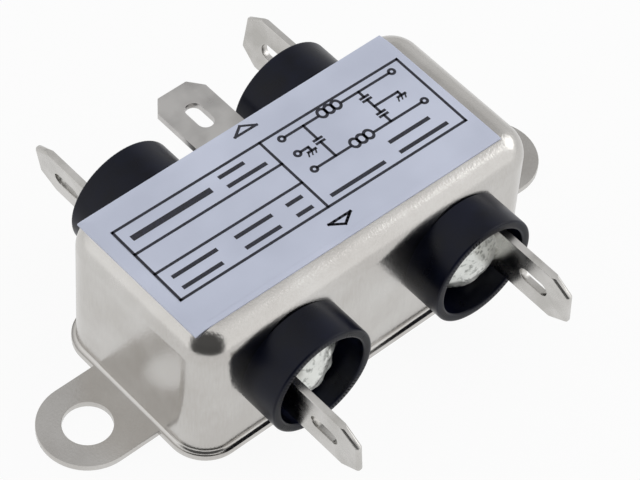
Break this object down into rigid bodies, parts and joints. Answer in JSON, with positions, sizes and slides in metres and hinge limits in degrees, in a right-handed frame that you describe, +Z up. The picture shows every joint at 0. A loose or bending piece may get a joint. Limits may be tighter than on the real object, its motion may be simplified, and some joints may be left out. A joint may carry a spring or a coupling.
{
  "type": "emi line filter",
  "caption": "Small mains EMI line filter in a drawn metal case with a mounting ear at each end, push-on tabs in black sleeves on both long sides, an earth tab and a silver label.",
  "frame": {"origin": "centre of the part's overall box, on the face that its underside rests on", "axes": "+X along the case through both ear holes, +Y towards the line side with the earth tab, +Z up out of the labelled top"},
  "size_m": [0.0642, 0.048, 0.0177],
  "materials": {
    "tinned_case": "satin tinned steel",
    "bushing": "black moulded plastic, satin",
    "tab": "tinned brass, satin",
    "earth_tab": "tinned steel, satin",
    "solder": "bright solder",
    "label": "silver film, satin",
    "eyelet": "tinned brass",
    "resin": "cast potting resin",
    "board": "laminated paper board",
    "insulator": "insulating sheet",
    "ferrite": "sintered ferrite",
    "copper_wire": "enamelled copper",
    "tinned_wire": "tinned copper",
    "film_capacitor": "moulded case",
    "disc_capacitor": "epoxy coat"
  },
  "bodies": {
    "root": {"case": "tinned_case", "resin_seal": "resin", "base_board": "board", "top_insulator": "insulator", "earth_tab": "earth_tab", "label": "label", "choke_core": "ferrite", "choke_divider": "insulator", "winding_left": "copper_wire", "winding_right": "copper_wire", "film_capacitor": "film_capacitor", "film_lead_left": "tinned_wire", "film_lead_right": "tinned_wire", "disc_capacitor_front": "disc_capacitor", "disc_capacitor_rear": "disc_capacitor", "disc_lead_front": "tinned_wire", "disc_lead_rear": "tinned_wire", "earth_lead_front": "tinned_wire", "earth_lead_rear": "tinned_wire", "earth_joint": "solder", "bushing_load_left": "bushing", "washer_load_left": "insulator", "eyelet_load_left": "eyelet", "tab_load_left": "tab", "solder_load_left": "solder", "bushing_load_right": "bushing", "washer_load_right": "insulator", "eyelet_load_right": "eyelet", "tab_load_right": "tab", "solder_load_right": "solder", "bushing_line_left": "bushing", "washer_line_left": "insulator", "eyelet_line_left": "eyelet", "tab_line_left": "tab", "solder_line_left": "solder", "bushing_line_right": "bushing", "washer_line_right": "insulator", "eyelet_line_right": "eyelet", "tab_line_right": "tab", "solder_line_right": "solder"}
  },
  "joints": []
}
